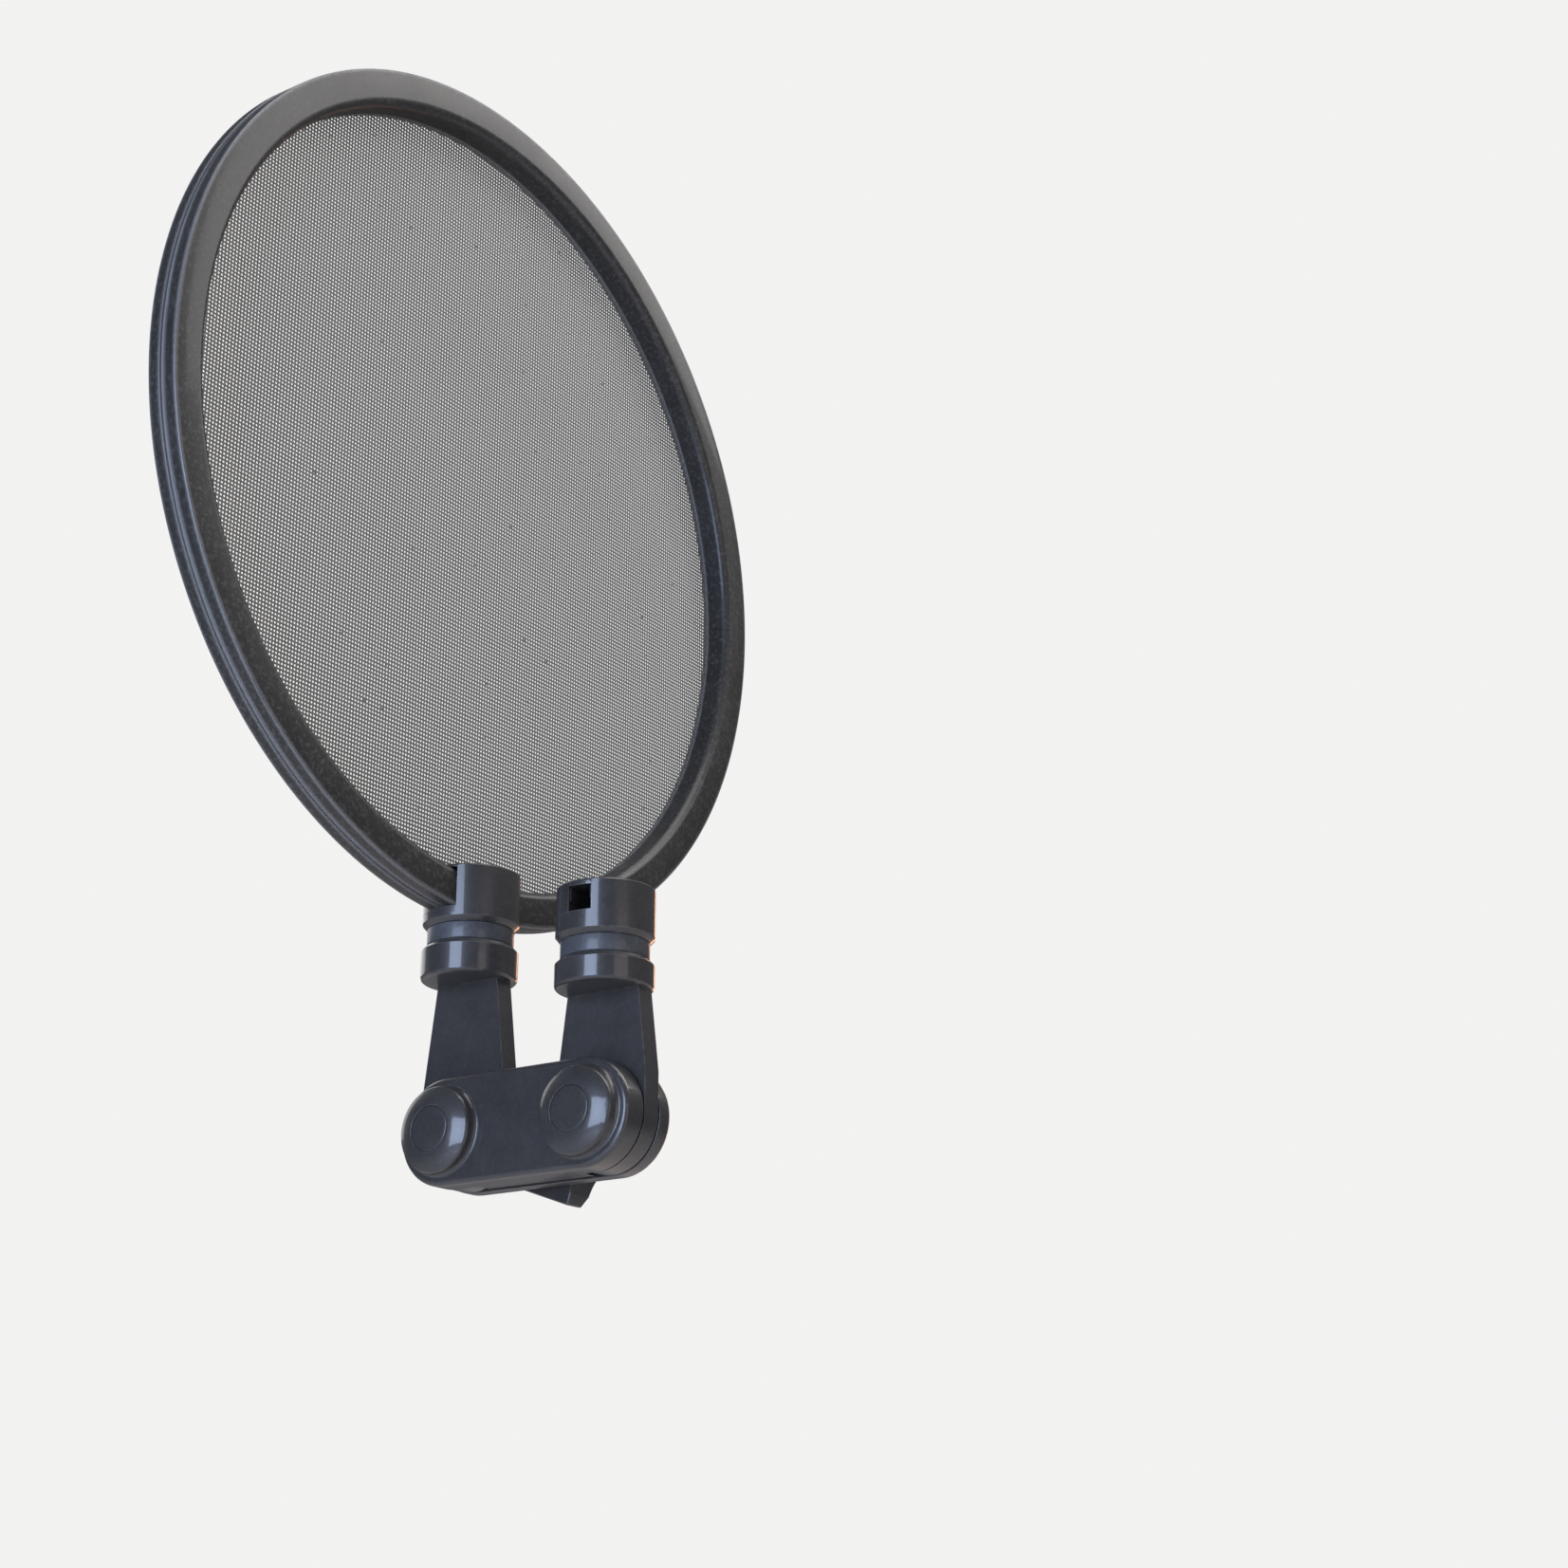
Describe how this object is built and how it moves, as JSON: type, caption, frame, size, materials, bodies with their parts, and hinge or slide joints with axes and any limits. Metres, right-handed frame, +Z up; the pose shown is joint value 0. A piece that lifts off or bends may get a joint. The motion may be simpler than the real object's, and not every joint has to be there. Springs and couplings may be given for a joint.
{
  "type": "pop filter",
  "caption": "Round mesh pop filter on a two-pivot swing link with swivelling clamp heads, made to grip the flat ring of a microphone shock mount.",
  "frame": {"origin": "on the first swivel's axis, at the floor of the channel that takes the shock mount's ring", "axes": "+Z up along both swivel axes, +Y from the ring towards the filter, +X along both link pivots"},
  "size_m": [0.1844, 0.0548, 0.2421],
  "materials": {
    "dark_paint": "satin",
    "hoop_paint": "satin",
    "grey_ring": "satin",
    "steel": "satin",
    "dark_steel": "satin",
    "rubber": "matte",
    "washer_plastic": "matte",
    "brass": "satin",
    "mesh": "matte"
  },
  "bodies": {
    "ring_clamp": {"ring_clamp_body": "dark_paint", "ring_clamp_jaw": "dark_paint", "ring_clamp_screws": "dark_steel", "ring_clamp_pads": "rubber", "inner_swivel_stud": "steel"},
    "inner_arm": {"inner_arm": "dark_paint", "inner_grub_screw": "dark_steel", "inner_friction_ring": "grey_ring", "inner_wave_washer": "steel"},
    "link": {"front_link_plate": "dark_paint", "back_link_plate": "dark_paint", "link_spacer": "dark_paint", "pivot_screws": "steel", "pivot_caps": "dark_paint", "pivot_nuts": "steel", "pivot_washers": "washer_plastic", "clamp_stud": "steel", "knob_washer": "steel"},
    "knob": {"wing_knob": "dark_paint", "knob_insert": "brass"},
    "outer_arm": {"outer_arm": "dark_paint", "outer_grub_screw": "dark_steel", "outer_friction_ring": "grey_ring", "outer_wave_washer": "steel"},
    "hoop": {"hoop_clamp_body": "dark_paint", "hoop_clamp_jaw": "dark_paint", "hoop_clamp_screws": "dark_steel", "hoop_rear_ring": "hoop_paint", "hoop_front_ring": "hoop_paint", "tension_ring": "dark_steel", "screen": "mesh", "outer_swivel_stud": "steel"}
  },
  "joints": [
    {"name": "inner_swivel", "type": "hinge", "parent": "ring_clamp", "child": "inner_arm", "pos_m": [0, 0, 0], "axis": [0, 0, 1], "range_deg": [-75, 75]},
    {"name": "inner_pivot", "type": "hinge", "parent": "inner_arm", "child": "link", "pos_m": [0, 0, -0.0379], "axis": [1, 0, 0], "range_deg": [-75, 14]},
    {"name": "knob_turn", "type": "hinge", "parent": "link", "child": "knob", "pos_m": [0, 0.0169, -0.0379], "axis": [1, 0, 0], "range_deg": [-180, 180]},
    {"name": "outer_pivot", "type": "hinge", "parent": "link", "child": "outer_arm", "pos_m": [0, 0.0338, -0.0379], "axis": [1, 0, 0], "range_deg": [-75, 4]},
    {"name": "outer_swivel", "type": "hinge", "parent": "outer_arm", "child": "hoop", "pos_m": [0, 0.0338, 0], "axis": [0, 0, 1], "range_deg": [-90, 90]}
  ]
}
